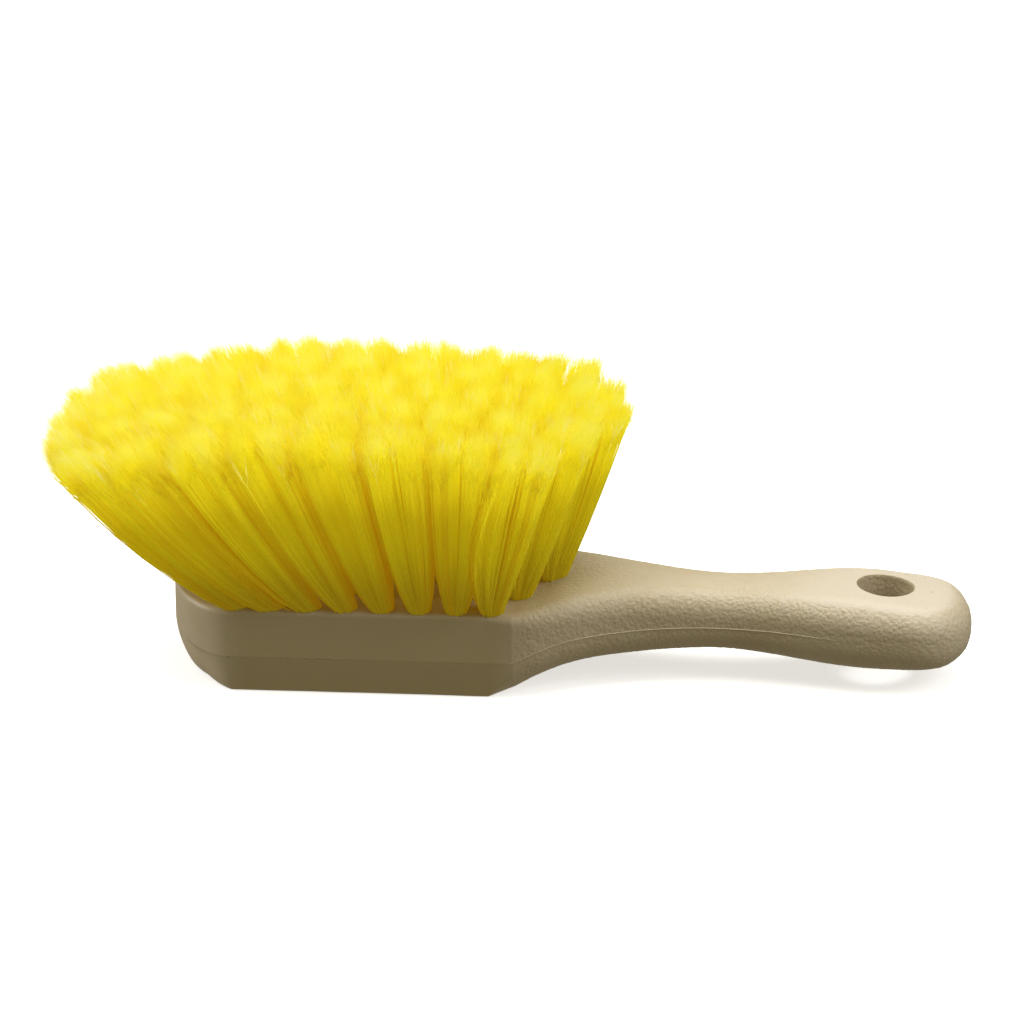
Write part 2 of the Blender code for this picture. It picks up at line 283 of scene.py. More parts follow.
def handleRing(x):
    roundFrom = handle["endX"] - handle["endRound"]
    half, top, bottom, parting, *rounded = (stationAt(name, x) for name in handle["columns"][1:])
    half *= closing(x - roundFrom, handle["endRound"], handle["endPower"])
    rounding = closing(x - handle["endX"] + handle["endEdge"], handle["endEdge"], handle["endEdgePower"])
    top = parting + (top - parting) * rounding
    bottom = parting - (parting - bottom) * rounding
    crown = handle["crown"] * min((x - block["sideX"][1]) / handle["crownRunIn"], 1.0) * rounding
    return section(x, half, top, bottom, parting, rounded[:2], rounded[2:], handle["draft"], crown)


def allRings():
    rings = noseRings()
    keys = [blockRing(x) for x in (block["sideX"][0], block["backX"][0], block["backX"][1])]
    start = block["sideX"][1]
    keys.append(handleRing(start))
    counts = (block["sideStartRings"], block["blockRings"], block["shoulderRings"])
    for first, last, count in zip(keys, keys[1:], counts):
        rings += [first + (last - first) * i / count for i in range(count)]
    roundFrom = handle["endX"] - handle["endRound"]
    places = [start + (roundFrom - start) * i / handle["rings"] for i in range(handle["rings"] + 1)]
    for i in range(1, handle["endRings"] + 1):
        angle = math.pi / 2.0 * ring["lastRing"] * i / handle["endRings"]
        places.append(roundFrom + handle["endRound"] * math.sin(angle))
    return np.array(rings + [handleRing(x) for x in places]) * mm


def makeMoulding():
    rings = allRings()
    along, around = rings.shape[:2]
    bpy.ops.mesh.primitive_grid_add(x_subdivisions=around, y_subdivisions=along - 1, size=1.0)
    skin = bpy.context.object
    skin.name = skin.data.name = "blockAndHandle"
    grid = np.concatenate((rings, rings[:, :1]), axis=1)       # the last column closes the ring
    skin.data.vertices.foreach_set("co", grid.reshape(-1))
    skin.data.update()
    bpy.ops.object.mode_set(mode="EDIT")
    bpy.ops.mesh.select_all(action="SELECT")
    bpy.ops.mesh.remove_doubles(threshold=ring["weld"] * mm)
    bpy.ops.mesh.select_all(action="DESELECT")
    bpy.ops.mesh.select_mode(type="EDGE")
    bpy.ops.mesh.select_non_manifold()
    bpy.ops.mesh.fill_holes(sides=0)
    bpy.ops.mesh.select_all(action="SELECT")
    bpy.ops.mesh.normals_make_consistent(inside=False)
    bpy.ops.object.mode_set(mode="OBJECT")
    return skin


# the moulding's surface: parting line, pebbled grain and slight waves, in the mesh itself
surface = {
    "ridge": 0.2, "ridgeHalf": 0.3,                      # height and half width of the parting line, mm
    "ridgeX": (1.5, 5.0, 72.0, 100.0),                   # where it comes in, and where it fades out
    "ridgeNear": 0.02, "ridgeFacing": 0.5,               # it lifts points this near it, on the sides only
    "pebble": 0.075, "pebbleSize": 1.25, "pebbleX": (1.0, 9.0),
    "pebbleFlat": 2.2, "pebbleSink": 0.6,                # steepness of a pebble's edge, share under the skin
    "grainLeast": 0.01,
    "gripX": (60.0, 95.0), "facingUp": (0.75, 0.95),     # towards the hole, the top is rubbed smoother
    "gripCalm": 0.65,
    "wave": 0.09, "waveSize": 14.0,
}


def smoothStep(value, low, high):
    t = np.clip((value - low) / (high - low), 0.0, 1.0)
    return t * t * (3.0 - 2.0 * t)


def grainMask(x, up):            # 1 on the shoulders and the handle's sides, less on its top by the hole
    topOfGrip = smoothStep(x, *surface["gripX"]) * smoothStep(up, *surface["facingUp"])
    return smoothStep(x, *surface["pebbleX"]) * (1.0 - surface["gripCalm"] * topOfGrip)


def pebbleHeight(place):
    near = noise.voronoi(place / surface["pebbleSize"])[0]
    return min((near[1] - near[0]) * surface["pebbleFlat"], 1.0) - surface["pebbleSink"]


def textureSkin(skin):
    mesh = skin.data
    points, normals = np.empty(len(mesh.vertices) * 3), np.empty(len(mesh.vertices) * 3)
    mesh.vertices.foreach_get("co", points)
    mesh.vertex_normals.foreach_get("vector", normals)
    points, normals = points.reshape(-1, 3), normals.reshape(-1, 3)
    x, z = points[:, 0] / mm, points[:, 2] / mm
    grainy = grainMask(x, normals[:, 2])
    lift = np.zeros(len(points))
    for i, point in enumerate(points):
        place = Vector(point) / mm
        lift[i] = noise.noise(place / surface["waveSize"]) * surface["wave"]
        if grainy[i] > surface["grainLeast"]:
            lift[i] += grainy[i] * surface["pebble"] * pebbleHeight(place)
    parting = np.array([stationAt("parting", max(px, block["sideX"][1])) for px in x])
    ridgeOn = smoothStep(x, *surface["ridgeX"][:2]) * (1.0 - smoothStep(x, *surface["ridgeX"][2:]))
    onLine = (np.abs(z - parting) < surface["ridgeNear"]) * (np.abs(normals[:, 1]) > surface["ridgeFacing"])
    lift += surface["ridge"] * ridgeOn * onLine
    points += normals * (lift * mm)[:, None]
    mesh.vertices.foreach_set("co", points.reshape(-1))
    mesh.update()


skin = makeMoulding()
textureSkin(skin)
print("moulding made:", len(skin.data.polygons), "faces")


# tufts: where each stands and where its head is trimmed, in mm
rows = {                         # across, first and last hole along x, number of tufts
    "row1": (-24.0, -71.5, -1.5, 8),
    "row2": (-12.0, -80.8, 4.7, 10),
    "row3": (0.0, -85.8, 12.2, 11),
    "row4": (12.0, -80.8, 4.7, 10),
    "row5": (24.0, -71.5, -1.5, 8),
}
head = {
    # how far each row's heads reach along x
    "reach": {"row1": (-119.0, 19.0), "row2": (-126.0, 27.8), "row3": (-127.5, 35.0),
              "row4": (-126.0, 30.5), "row5": (-121.5, 22.0)},
    "endHalf": (6.5, 7.5),             # half the length of a row's first and last head
    "crowding": 0.25,                  # how much closer together the heads are over the nose
    "rowSpread": 17.6 / 12.0,          # distance between rows at the heads over that at the holes
    "halfRow": 8.8,
    "peak": (-48.6, 82.4),             # x and z of the highest place
    "fall": (2.3e-3, 1.05e-3), "fallAcross": 1.5e-3,     # mm per square mm from there
    "power": 4.0, "endPower": 2.5,     # squareness of a tuft's head, and of the heads at the nose
}
hole = {"radius": 2.75, "depth": 13.0, "sides": 24}


def trimHeight(x, y):
    fall = np.where(x < head["peak"][0], *head["fall"])
    return head["peak"][1] - fall * (x - head["peak"][0]) ** 2 - head["fallAcross"] * y ** 2


def layTufts():
    tufts = []
    for rowName, (across, first, last, count) in rows.items():
        low, high = head["reach"][rowName]
        low, high = low + head["endHalf"][0], high - head["endHalf"][1]
        shares = np.arange(count) / (count - 1)
        tips = low + (high - low) * (shares - head["crowding"] * shares * (1.0 - shares) ** 2)
        middles = (tips[:-1] + tips[1:]) / 2.0
        ends = np.concatenate(((low - head["endHalf"][0],), middles, (high + head["endHalf"][1],)))
        for i in range(count):
            mouth = np.array((first + (last - first) * shares[i], across, block["height"]))
            y = across * head["rowSpread"]
            tufts.append({"name": f"{rowName}_{i + 1:02d}", "mouth": mouth,
                          "tip": np.array((tips[i], y, trimHeight(tips[i], y))),
                          "low": ends[i], "high": ends[i + 1],
                          "first": i == 0, "last": i == count - 1, "across": across})
    return tufts


tufts = layTufts()


# drilled holes and the hanging hole, cut in one go
hang = {
    "x": 101.9, "radius": 7.7, "lean": math.radians(7.0), "sides": 72, "overrun": 6.0,
    "rim": 1.2, "rimReach": 1.5, "rimProud": 0.5, "rimSteps": 7,    # its reach and rise, in rim sizes
}
sharpAngle = math.radians(32.0)        # edges that turn more than this stay sharp


def makeDrill(tuft):
    axis = Vector(tuft["tip"] - tuft["mouth"]).normalized()
    bpy.ops.mesh.primitive_cylinder_add(vertices=hole["sides"], radius=hole["radius"] * mm,
                                        depth=2.0 * hole["depth"] * mm)
    drill = bpy.context.object
    turn = Vector((0.0, 0.0, 1.0)).rotation_difference(axis).to_matrix().to_4x4()
    drill.data.transform(Matrix.Translation(Vector(tuft["mouth"]) * mm) @ turn)
    return drill


def hangProfile(half, wide):     # radius and height of the cutter's rings, flared at both faces
    profile = [(wide, -half - hang["overrun"])]
    for i in range(hang["rimSteps"] + 1):
        angle = math.pi / 2.0 * i / hang["rimSteps"]
        rise = hang["rimProud"] - hang["rimReach"] * (1.0 - math.cos(angle))
        profile.append((hang["radius"] + (wide - hang["radius"]) * (1.0 - math.sin(angle)),
                        -half - hang["rim"] * rise))
    return profile + [(radius, -height) for radius, height in reversed(profile)]


def makeHangCutter():
    top, bottom = stationAt("top", hang["x"]) + handle["crown"], stationAt("bottom", hang["x"])
    wide = hang["radius"] + hang["rim"] * hang["rimReach"]
    profile = hangProfile((top - bottom) / 2.0, wide)
    bpy.ops.mesh.primitive_cylinder_add(vertices=hang["sides"], radius=wide * mm, depth=1.0,
                                        end_fill_type="NGON")
    cutter = bpy.context.object
    bpy.ops.object.mode_set(mode="EDIT")
    for share in np.linspace(0.0, 1.0, len(profile))[1:-1]:
        bpy.ops.mesh.select_all(action="SELECT")
        bpy.ops.mesh.bisect(plane_co=(0.0, 0.0, share - 0.5), plane_no=(0.0, 0.0, 1.0))
    bpy.ops.object.mode_set(mode="OBJECT")
    for vertex in cutter.data.vertices:
        radius, height = profile[round((vertex.co.z + 0.5) * (len(profile) - 1))]
        flat = Vector((vertex.co.x, vertex.co.y)).normalized() * radius * mm
        vertex.co = (flat.x, flat.y, height * mm)
    place = Matrix.Translation((hang["x"] * mm, 0.0, (top + bottom) / 2.0 * mm))
    cutter.data.transform(place @ Matrix.Rotation(hang["lean"], 4, "Y"))
    return cutter


def cutHoles(skin):
    cutters = [makeDrill(tuft) for tuft in tufts] + [makeHangCutter()]
    group = bpy.data.collections.new("cutters")
    for cutter in cutters:
        group.objects.link(cutter)
    selectOnly(skin)
    cut = skin.modifiers.new("holes", "BOOLEAN")
    cut.operand_type, cut.collection, cut.solver = "COLLECTION", group, "MANIFOLD"
    bpy.ops.object.modifier_apply(modifier=cut.name)
    for cutter in cutters:
        bpy.data.objects.remove(cutter, do_unlink=True)
    bpy.data.collections.remove(group)
    bpy.ops.object.shade_smooth_by_angle(angle=sharpAngle)


cutHoles(skin)
print("holes cut:", len(skin.data.polygons), "faces")


# cream plastic: pebbled on the handle, with painted shade that makes the block's flat sides darker and
# warmer, and a painted highlight that makes the grip's top paler
creamPlastic = {
    "colour": (0.52, 0.445, 0.315, 1.0), "warm": (0.48, 0.40, 0.27, 1.0), "pit": (0.30, 0.24, 0.14, 1.0),
    # the side colour is painted shade on the block's flat sides; the paler colour on the grip's top is a
    # painted highlight
    "side": (0.42, 0.345, 0.19, 1.0), "gripHighlight": (0.57, 0.505, 0.395, 1.0),
    "roughness": 0.41, "mottledRoughness": 0.12, "grainRoughness": 0.02, "ior": 1.47,
    "scatter": 0.12, "scatterSize": 1.5, "scatterReach": (1.0, 0.7, 0.35),
    "cellSize": 1.15, "cellSmooth": 0.6, "cells": 0.7,               # sizes in mm, and shares of the bump
    "grainSize": 0.7, "grain": 0.6,
    "fineSize": 0.35, "fine": 0.12, "fineOnGrain": 0.1,
    "mottleSize": 22.0, "mottle": (0.35, 0.7),
    "grainDistance": 0.28, "gripCalm": 0.6,
    "sideFacing": (0.3, 0.6), "sideX": (-80.0, -68.0, -3.0, 6.0),     # where the painted shade on the sides starts and ends
    "sideShadeFade": 14.0,                                                # the painted shade fades by this per metre of height, so the sides are darker towards the bottom
    "pitZ": 10.2, "pitBand": (0.1, 0.5), "pitEndX": (0.0, 5.0),      # pits along the joint line of the block
    "pitSize": 1.6, "pitRough": 0.7, "pits": (0.56, 0.66),
    "endPitX": (104.0, 112.0), "endPitSize": 2.6, "endPits": (0.70, 0.75),    # and round the grip's end
    "pitShade": 0.3, "pitDepth": 0.3, "lineShade": 0.16,
}


def stepAlong(finish, value, low, high):        # a step between two places given in mm
    return finish.step(value, low * mm, high * mm)


def makeCreamPlastic():
    cream = creamPlastic
    finish = Finish("creamPlastic", {"Subsurface Weight": cream["scatter"], "IOR": cream["ior"],
                                     "Subsurface Scale": cream["scatterSize"] * mm,
                                     "Subsurface Radius": cream["scatterReach"]})
    place = finish.node("ShaderNodeTexCoord", {}, {}, "Object")
    x, y, z = finish.split(place, 3)
    up = finish.split(finish.node("ShaderNodeNewGeometry", {}, {}, "Normal"), 3)[2]

    def clouds(size, detail, rough=0.5):       # soft noise, its size in mm
        return finish.node("ShaderNodeTexNoise", {}, {"Vector": place, "Scale": 1.0 / (size * mm),
                                                      "Detail": detail, "Roughness": rough})

    cells = finish.node("ShaderNodeTexVoronoi", {"feature": "SMOOTH_F1"},
                        {"Vector": place, "Scale": 1.0 / (cream["cellSize"] * mm),
                         "Smoothness": cream["cellSmooth"]})
    # the grip's top, where it faces up: its grain is smoother, and it gets a painted highlight
    rubbedAndHighlit = stepAlong(finish, x, *surface["gripX"]) * finish.step(up, *surface["facingUp"])
    grainy = stepAlong(finish, x, *surface["pebbleX"]) * (1.0 - rubbedAndHighlit * cream["gripCalm"])
    grain = (1.0 - cells) * cream["cells"] + clouds(cream["grainSize"], detail=3.0) * cream["grain"]
    fine = clouds(cream["fineSize"], detail=2.0)
    mottle = clouds(cream["mottleSize"], detail=3.0)
    onSide = 1.0 - finish.step(abs(up), *cream["sideFacing"])
    fromLine = abs(z - cream["pitZ"] * mm)
    onLine = (1.0 - stepAlong(finish, x, *cream["pitEndX"])) * (
        1.0 - stepAlong(finish, fromLine, *cream["pitBand"])) * onSide
    linePits = clouds(cream["pitSize"], detail=2.0, rough=cream["pitRough"])
    endPits = clouds(cream["endPitSize"], detail=1.0)
    pits = onLine * finish.step(linePits, *cream["pits"])
    pits = pits + stepAlong(finish, x, *cream["endPitX"]) * finish.step(endPits, *cream["endPits"])
    # painted shade: the block's flat sides darker and warmer, more so towards the bottom
    shade = stepAlong(finish, x, *cream["sideX"][:2]) * (
        1.0 - stepAlong(finish, x, *cream["sideX"][2:])) * onSide
    colour = finish.blend(finish.step(mottle, *cream["mottle"]), cream["colour"], cream["warm"])
    colour = finish.blend(shade * (1.0 - z * cream["sideShadeFade"]), colour, cream["side"])
    # painted highlight: the grip's top paler where it faces up
    colour = finish.blend(rubbedAndHighlit, colour, cream["gripHighlight"])
    colour = finish.blend(onLine * cream["lineShade"] + pits * cream["pitShade"], colour, cream["pit"])
    height = (grain * grainy + fine * (cream["fine"] + grainy * cream["fineOnGrain"])
              - pits * cream["pitDepth"])
    finish.feed(finish.shader, {
        "Base Color": colour,
        "Roughness": (cream["roughness"] + (mottle - 0.5) * cream["mottledRoughness"]
                      - grainy * cream["grainRoughness"]),
        "Normal": finish.bump(height, cream["grainDistance"] * mm)})
    return finish.material


skin.data.materials.clear()
skin.data.materials.append(makeCreamPlastic())
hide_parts("handle_block")
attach(skin, "root")
print("moulding finished")


# bristles: each tuft is a bundle of flagged filaments, with all sizes in mm
bristle = {
    "seed": 7,
    "count": 340, "radius": 0.165, "taper": 0.85, "spread": 2.65,
    "crowding": 0.43,            # below a half there are more filaments on the outside
    "goldenTurn": 2.399963, "firstTurn": 6.28,           # radians between filaments, and the first's most
    "cuts": (0.045, 0.2, 0.38, 0.56, 0.73),              # where a filament may bend, by its length
    "rootDepth": 3.0,            # how far it goes on inside the hole
    "rodSide": (0.0, 1.0, 0.3),  # the way that sets how each rod is turned
    # the head, seen from above
    "loose": 0.45, "calmAtNose": 0.4, "clumps": 20, "clumping": 0.22,
    # the bundle on its way up to it
    "swell": 0.05, "swellAtEnd": 0.5, "swellWay": (1.0, 0.7, 0.0),    # it is wider halfway up
    "opening": 0.62, "openingAtEnd": 0.85,               # below 1 it opens soon after the hole
    "bow": 2.6, "bowLean": 0.75,                         # how far a tuft that leans so much curves down
    # the head's height
    "outerRow": 20.0,            # rows further out have no neighbour on their outer side
    "valley": 3.6, "valleyRange": (0.4, 1.0), "valleyPower": 2.5,     # heads are lower beside other tufts
    "valleyLean": (0.2, 2.0),    # more so where they lean to the nose past the first, at the second's rate
    "notch": (1.3, -0.9), "outerPower": 3,               # more outside the near row, less outside the far
    "uneven": 0.35, "rise": 0.4, "clumpHeight": 0.65,
    "ragged": 9.0, "raggedPower": 0.8, "scallop": (0.35, 0.65),      # the outer row's uneven ends
    "strays": 3, "strayReach": 3.8, "sideways": (1.0, 1.0, 0.3),
    # split ends
    "hairs": 7, "hairRadius": 0.085, "hairFrom": (0.84, 0.92), "hairOverlap": 0.02,
    "hairSpread": 1.35, "hairCurve": 1.3, "hairReach": (-0.035, 0.03),
    # tints, which the material reads; the deep tints mark filaments between tufts, where it paints shade
    "tones": (0.2, 0.8), "deepTones": (0.0, 0.25), "between": (0.55, 0.97), "roundTint": 0.004,
    "paleTint": 0.95, "pale": 0.018, "paleAtNose": 0.12,
}
pathTable = {"end": 1.05, "steps": 42}


def rodTemplate(tipRadius, cuts):          # three-sided rod of unit length with its bends
    bpy.ops.mesh.primitive_cone_add(vertices=3, radius1=1.0, radius2=tipRadius, depth=1.0,
                                    location=(0.0, 0.0, 0.5))
    rod = bpy.context.object
    bpy.ops.object.transform_apply(location=True, rotation=False, scale=False)
    bpy.ops.object.mode_set(mode="EDIT")
    for cut in cuts:
        bpy.ops.mesh.select_all(action="SELECT")
        bpy.ops.mesh.bisect(plane_co=(0.0, 0.0, cut), plane_no=(0.0, 0.0, 1.0))
    bpy.ops.mesh.select_all(action="SELECT")
    bpy.ops.mesh.quads_convert_to_tris()
    bpy.ops.mesh.normals_make_consistent(inside=False)
    bpy.ops.object.mode_set(mode="OBJECT")
    points, faces = readMesh(rod)
    bpy.data.objects.remove(rod, do_unlink=True)
    return points, faces


stem = rodTemplate(bristle["taper"], bristle["cuts"])
hair = rodTemplate(0.0, ())


def layRods(template, path, radius, along, tint):
    # path(t) gives each rod's middle at t; the result is points, faces and map places
    points, faces = template
    heights, level = np.unique(np.round(points[:, 2], 4), return_inverse=True)
    middles = np.stack([path(t) for t in heights], 1)                  # rod, level, xyz
    way = middles[:, -1] - middles[:, 0]
    way /= np.linalg.norm(way, axis=1, keepdims=True)
    across = np.cross(way, np.array(bristle["rodSide"]))
    across /= np.linalg.norm(across, axis=1, keepdims=True)
    other = np.cross(way, across)
    shape = middles[:, level]
    shape = shape + radius * (points[None, :, :1] * across[:, None] + points[None, :, 1:2] * other[:, None])
    count = len(middles)
    spots = np.empty((count, len(points), 2))
    spots[:, :, 0] = along[0][:, None] + (along[1] - along[0])[:, None] * points[None, :, 2]
    spots[:, :, 1] = tint[:, None] + bristle["roundTint"] * points[None, :, 0]
    offsets = np.arange(count) * len(points)
    return (shape.reshape(-1, 3), (faces[None] + offsets[:, None, None]).reshape(-1, 3),
            spots.reshape(-1, 2))


def packFilaments(tuft, axis, draw):       # even packing in the hole, and the same order in the head
    order = np.arange(bristle["count"])
    out = ((order + 0.5) / bristle["count"]) ** bristle["crowding"]
    turn = order * bristle["goldenTurn"] + draw.uniform(0.0, bristle["firstTurn"])
    rootX, rootY = out * np.cos(turn) * bristle["spread"], out * np.sin(turn) * bristle["spread"]
    side = np.array((axis[2], 0.0, -axis[0])) / math.hypot(axis[0], axis[2])
    fore = np.cross(axis, side)
    roots = tuft["mouth"] + rootX[:, None] * side + rootY[:, None] * fore
    square = 2.0 / (head["endPower"] if tuft["first"] else head["power"])
    headX = out * np.sign(np.cos(turn)) * np.abs(np.cos(turn)) ** square
    headY = out * np.sign(np.sin(turn)) * np.abs(np.sin(turn)) ** square
    return roots, headX, headY


def placeHeads(tuft, headX, headY, draw):  # x and y of each filament's end, and the clump it is in
    middle, half = (tuft["low"] + tuft["high"]) / 2.0, (tuft["high"] - tuft["low"]) / 2.0
    heads = np.stack((middle + headX * half, tuft["tip"][1] + headY * head["halfRow"]), 1)
    calm = bristle["calmAtNose"] if tuft["first"] else 1.0
    heads += draw.normal(0.0, bristle["loose"] * calm, (bristle["count"], 2))
    clumps = heads[draw.choice(bristle["count"], bristle["clumps"], replace=False)]
    nearest = np.argmin(np.linalg.norm(heads[:, None] - clumps[None], axis=2), axis=1)
    heads += (clumps[nearest] - heads) * bristle["clumping"] * calm
    return heads, nearest


def facingShares(tuft, headX, headY):      # how far each filament faces the tufts along and across the rows
    inward = np.stack((headX * (1.0 - tuft["last"]), -headX * (1.0 - tuft["first"]),
                       headY * (tuft["across"] < bristle["outerRow"]),
                       -headY * (tuft["across"] > -bristle["outerRow"])))
    return np.clip(inward, 0.0, 1.0)


def trimHeads(tuft, axis, heads, nearest, headX, headY, facing, draw):
    count = bristle["count"]
    outer = np.clip(np.abs(headY) * (np.sign(headY) == np.sign(tuft["across"])), 0.0, 1.0)
    outer = outer ** bristle["outerPower"] * (abs(tuft["across"]) > bristle["outerRow"])
    leanFrom, leanRate = bristle["valleyLean"]
    valley = bristle["valley"] * (1.0 + leanRate * max(-axis[0] - leanFrom, 0.0))
    valley = valley * (1.0 + bristle["notch"][int(tuft["across"] > 0.0)] * outer)
    edge = facing.max(axis=0) ** bristle["valleyPower"]
    height = (trimHeight(heads[:, 0], heads[:, 1])
              - edge * valley * draw.uniform(*bristle["valleyRange"], count))
    height -= np.abs(draw.normal(0.0, bristle["uneven"], count)) - bristle["rise"]
    height += draw.normal(0.0, bristle["clumpHeight"], bristle["clumps"])[nearest]
    scallop = bristle["scallop"][0] + bristle["scallop"][1] * headX ** 2
    height -= bristle["ragged"] * outer * scallop * draw.uniform(0.0, 1.0, count) ** bristle["raggedPower"]
    return np.stack((heads[:, 0], heads[:, 1], height), 1)


def bundlePath(tuft, axis, roots, tips, headX):
    mouth, tip = tuft["mouth"], tuft["tip"]
    lean = math.hypot(axis[0], axis[1])
    bowWay = np.array((axis[0], axis[1], 0.0)) / max(lean, 1e-6) * axis[2]
    bowWay[2] = -lean
    bow = bristle["bow"] * (lean / bristle["bowLean"]) ** 2 * bowWay
    drop = -axis * bristle["rootDepth"]
    flat = np.array(bristle["swellWay"])
    inFront = tuft["last"] * (tuft["across"] <= 0.0)     # these last tufts swell only on their inner side
    outer = (inFront * headX > 0.0)[:, None]
    opening = np.where(outer, bristle["openingAtEnd"], bristle["opening"])
    swell = np.where(outer, 0.0, bristle["swellAtEnd"] if tuft["last"] else bristle["swell"])

    def path(t):                 # t = 0 is inside the hole, and the first cut is at its mouth
        share = (t - bristle["cuts"][0]) / (1.0 - bristle["cuts"][0])
        if share <= 0.0:
            return roots + drop
        opened = share ** opening
        centre = mouth + (tip - mouth) * share
        halfway = 4.0 * share * (1.0 - share)
        return (centre + (roots - mouth) * (1.0 - opened)
                + (tips - tip) * (opened + swell * halfway * flat) + bow * halfway)

    return path


def tintFilaments(tuft, nearest, facing, strayFrom, draw):   # painted shade between tufts, a tone a clump, a few pale
    count = bristle["count"]
    if tuft["first"] or tuft["last"]:
        facing = facing[:2]
    between = smoothStep(facing.max(axis=0), *bristle["between"])
    tone = draw.uniform(*bristle["tones"], bristle["clumps"])
    tint = tone[nearest] * (1.0 - between) + draw.uniform(*bristle["deepTones"], count) * between
    pale = bristle["paleAtNose"] if tuft["first"] else bristle["pale"]
    tint[draw.uniform(0.0, 1.0, count) < pale] = bristle["paleTint"]
    tint[strayFrom:] = bristle["paleTint"]
    return tint


def pathBetween(path, t, start, end):      # each rod's own stretch of a shared path, read from a table
    lastStep, steps = pathTable["end"], pathTable["steps"]
    table = np.stack([path(g) for g in np.linspace(0.0, lastStep, steps + 1)], 1)
    at = (start + (end - start) * t) / lastStep * steps
    low = np.clip(at.astype(int), 0, steps - 1)
    rest = (at - low)[:, None]
    rods = np.arange(len(at))
    return table[rods, low] * (1.0 - rest) + table[rods, low + 1] * rest


def bundle(tuft, draw):
    count = bristle["count"]
    axis = tuft["tip"] - tuft["mouth"]
    axis = axis / np.linalg.norm(axis)
    roots, headX, headY = packFilaments(tuft, axis, draw)
    heads, nearest = placeHeads(tuft, headX, headY, draw)
    facing = facingShares(tuft, headX, headY)
    tips = trimHeads(tuft, axis, heads, nearest, headX, headY, facing, draw)
    strays = 0 if tuft["first"] else bristle["strays"]   # the outermost filaments
    tips[count - strays:] += draw.normal(0.0, bristle["strayReach"], (strays, 3)) * bristle["sideways"]
    path = bundlePath(tuft, axis, roots, tips, headX)
    tint = tintFilaments(tuft, nearest, facing, count - strays, draw)
    root, full = np.zeros(count), np.ones(count)
    ends = draw.uniform(*bristle["hairFrom"], count)
    parts = [layRods(stem, lambda t: pathBetween(path, t, root, ends), bristle["radius"], (root, ends), tint)]
    start = ends - bristle["hairOverlap"]
    for _ in range(bristle["hairs"]):
        aim = draw.normal(0.0, bristle["hairSpread"], (count, 3)) * bristle["sideways"]
        reach = full + draw.uniform(*bristle["hairReach"], count)
        parts.append(layRods(
            hair, lambda t: pathBetween(path, t, start, reach) + aim * t ** bristle["hairCurve"],
            bristle["hairRadius"], (start, reach), tint))
    return parts


def meshFrom(name, parts, material):
    points, faces, spots, offset = [], [], [], 0
    for shape, triangles, places in parts:
        points.append(shape)
        faces.append(triangles + offset)
        spots.append(places)
        offset += len(shape)
    points, faces, spots = np.concatenate(points) * mm, np.concatenate(faces), np.concatenate(spots)
    mesh = bpy.data.meshes.new(name)
    mesh.vertices.add(len(points))
    mesh.vertices.foreach_set("co", points.reshape(-1))
    mesh.loops.add(faces.size)
    mesh.loops.foreach_set("vertex_index", faces.reshape(-1).astype(np.int32))
    mesh.polygons.add(len(faces))
    mesh.polygons.foreach_set("loop_start", np.arange(0, faces.size, 3, dtype=np.int32))
    mesh.update(calc_edges=True)
    layer = mesh.uv_layers.new(name="OFBake")
    layer.uv.foreach_set("vector", spots[faces.reshape(-1)].reshape(-1))
    mesh.shade_smooth()
    mesh.materials.append(material)
    made = bpy.data.objects.new(name, mesh)
    scene.collection.objects.link(made)
    return made


# yellow filament: its map runs from root to tip one way and through the tints the other
filament = {
    "root": (0.88, 0.74, 0.025, 1.0), "middle": (0.90, 0.84, 0.018, 1.0), "tip": (0.86, 0.75, 0.003, 1.0),
    # the deep colour is painted shade on the filaments between tufts
    "crest": (0.88, 0.84, 0.115, 1.0), "gapShade": (0.87, 0.55, 0.003, 1.0), "pale": (0.94, 0.92, 0.56, 1.0),
    "roughness": 0.38, "specular": 0.22,
    "through": 0.5, "throughColour": (0.88, 0.80, 0.012, 1.0),    # light that goes through a filament
    # painted glow: an emission that stands in for light scattered many times between filaments, brightest
    # high up
    "glow": 0.3, "glowRoot": (0.147, 0.121, 0.008, 1.0), "glowMiddle": (0.35, 0.312, 0.010, 1.0),
    "glowHigh": (0.66, 0.595, 0.022, 1.0), "glowTip": (0.32, 0.295, 0.004, 1.0),
    "glowDeep": (0.22, 0.132, 0.002, 1.0),
    # where each colour comes in, along a filament
    "toMiddle": (0.0, 0.45), "toTip": (0.88, 1.0), "toPale": (0.78, 0.95), "deepFades": (0.7, 0.92),
    "glowToMiddle": (0.05, 0.6), "glowToHigh": (0.55, 0.86), "glowToTip": (0.9, 1.0),
    # and by tint
    "deepTints": (0.05, 0.4), "crestTints": (0.35, 0.65), "paleTints": (0.86, 0.93),
    "deepFade": 0.25, "deepColour": 0.9, "deepGlow": 0.8,
}


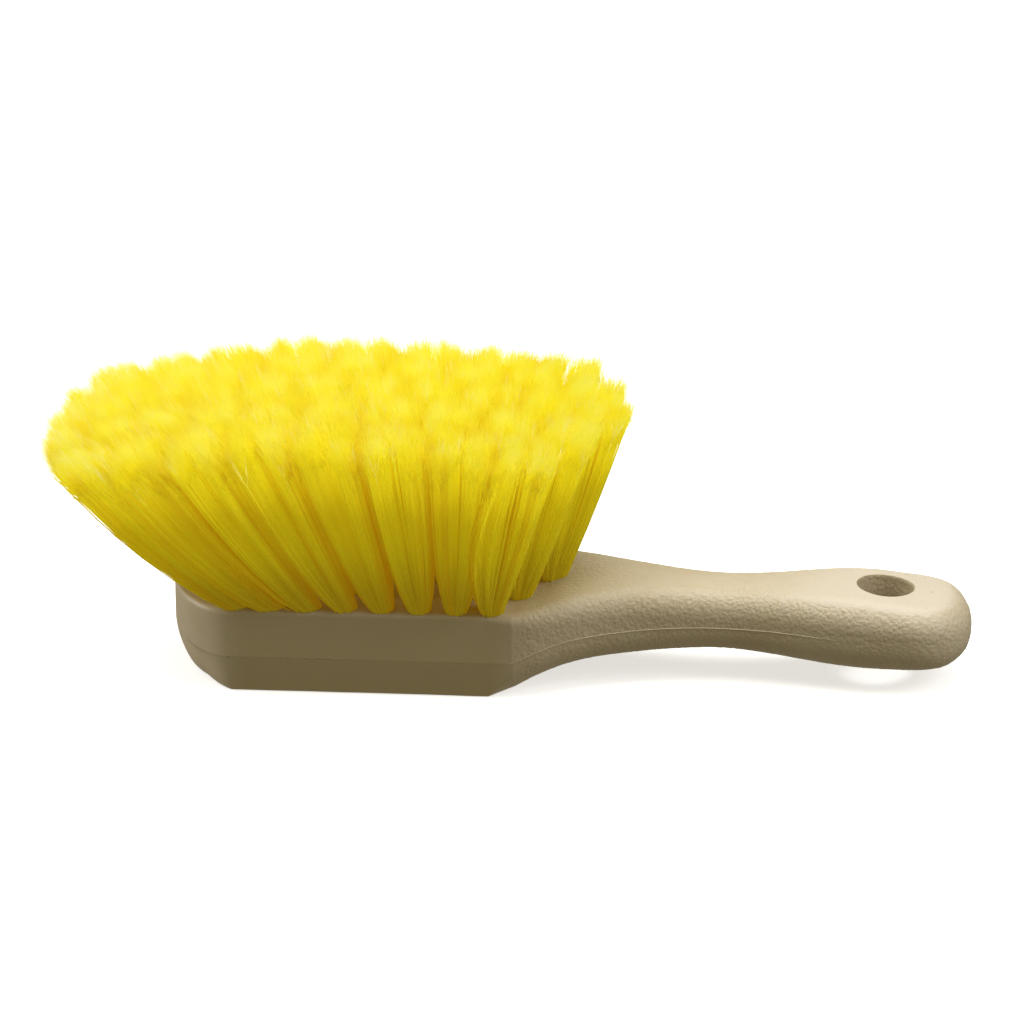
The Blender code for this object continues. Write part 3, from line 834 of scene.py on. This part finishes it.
def makeBristleYellow():
    yellow = filament
    finish = Finish("bristleYellow", {"Roughness": yellow["roughness"],
                                      "Specular IOR Level": yellow["specular"]})
    along, tint = finish.split(finish.node("ShaderNodeUVMap", {"uv_map": "OFBake"}, {}), 2)
    colour = finish.blend(finish.step(along, *yellow["toMiddle"]), yellow["root"], yellow["middle"])
    colour = finish.blend(finish.step(along, *yellow["toTip"]), colour, yellow["tip"])
    # painted shade on the filaments between tufts, a little less towards the tips
    gapShade = (1.0 - finish.step(tint, *yellow["deepTints"])) * (
        1.0 - finish.step(along, *yellow["deepFades"]) * yellow["deepFade"])
    colour = finish.blend(gapShade * yellow["deepColour"], colour, yellow["gapShade"])
    crest = finish.step(tint, *yellow["crestTints"]) * finish.step(along, *yellow["toTip"])
    colour = finish.blend(crest, colour, yellow["crest"])
    paleTip = finish.step(tint, *yellow["paleTints"]) * finish.step(along, *yellow["toPale"])
    colour = finish.blend(paleTip, colour, yellow["pale"])
    # painted glow along each filament: brightest high up, dimmer at the root and on the filaments between
    # tufts
    glow = finish.blend(finish.step(along, *yellow["glowToMiddle"]), yellow["glowRoot"], yellow["glowMiddle"])
    glow = finish.blend(finish.step(along, *yellow["glowToHigh"]), glow, yellow["glowHigh"])
    glow = finish.blend(finish.step(along, *yellow["glowToTip"]), glow, yellow["glowTip"])
    glow = finish.blend(gapShade * yellow["deepGlow"], glow, yellow["glowDeep"])
    finish.feed(finish.shader, {"Base Color": colour, "Emission Color": glow,
                                "Emission Strength": yellow["glow"] / (1.0 - yellow["through"])})
    finish.material.cycles.emission_sampling = "NONE"
    through = finish.node("ShaderNodeBsdfTranslucent", {}, {"Color": yellow["throughColour"]})
    solid = Sum(finish, finish.shader.outputs[0])
    both = finish.node("ShaderNodeMixShader", {}, {0: yellow["through"], 1: solid, 2: through})
    finish.feed(finish.tree.nodes["Material Output"], {"Surface": both})
    return finish.material


def makeBristles():
    bristleYellow = makeBristleYellow()
    draw = np.random.default_rng(bristle["seed"])
    total = 0
    for tuft in tufts:
        piece = meshFrom("bristles_" + tuft["name"], bundle(tuft, draw), bristleYellow)
        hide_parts("tuft_" + tuft["name"])
        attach(piece, "root")
        total += len(piece.data.polygons)
    return total


print("bristles made:", makeBristles(), "triangles")


# floor and lights, in metres and watts
floor = {"size": 6.0, "colour": (0.86, 0.86, 0.86, 1.0), "roughness": 0.9, "glow": 0.62, "drop": 0.1 * mm}
lights = {
    "overhead": {"at": (-0.05, 0.10, 0.95), "aim": (0.0, 0.0, 0.04), "size": (1.3, 0.9), "watts": 13.2},
    "left": {"at": (-1.3, 0.1, 0.5), "aim": (0.0, 0.0, 0.04), "size": (0.7, 0.7), "watts": 8.6},
    "right": {"at": (1.0, -0.2, 0.75), "aim": (0.0, 0.0, 0.04), "size": (0.7, 0.7), "watts": 6.2},
}
room = {"colour": (1.0, 0.90, 0.63, 1.0), "strength": 0.265}


def makeFloor():
    bpy.ops.mesh.primitive_plane_add(size=floor["size"], location=(0.0, 0.0, -floor["drop"]))
    made = bpy.context.object
    made.name = "floor"
    finish = Finish("paleFloor", {"Base Color": floor["colour"], "Roughness": floor["roughness"],
                                  "Emission Color": (1.0, 1.0, 1.0, 1.0), "Emission Strength": floor["glow"]})
    made.data.materials.append(finish.material)
    made.visible_diffuse = made.visible_glossy = made.visible_transmission = False    # no light from under


def makeLights():
    for name, light in lights.items():
        bpy.ops.object.light_add(type="AREA", location=light["at"])
        made = bpy.context.object
        made.name = name
        made.data.shape = "RECTANGLE"
        made.data.size, made.data.size_y = light["size"]
        made.data.energy = light["watts"]
        way = Vector(light["aim"]) - Vector(light["at"])
        made.rotation_euler = way.to_track_quat("-Z", "Y").to_euler()
    world = bpy.data.worlds.new("room")
    scene.world = world
    world.use_nodes = True
    back = world.node_tree.nodes["Background"]
    back.inputs[0].default_value, back.inputs[1].default_value = room["colour"], room["strength"]


makeFloor()
makeLights()
print("stage set")
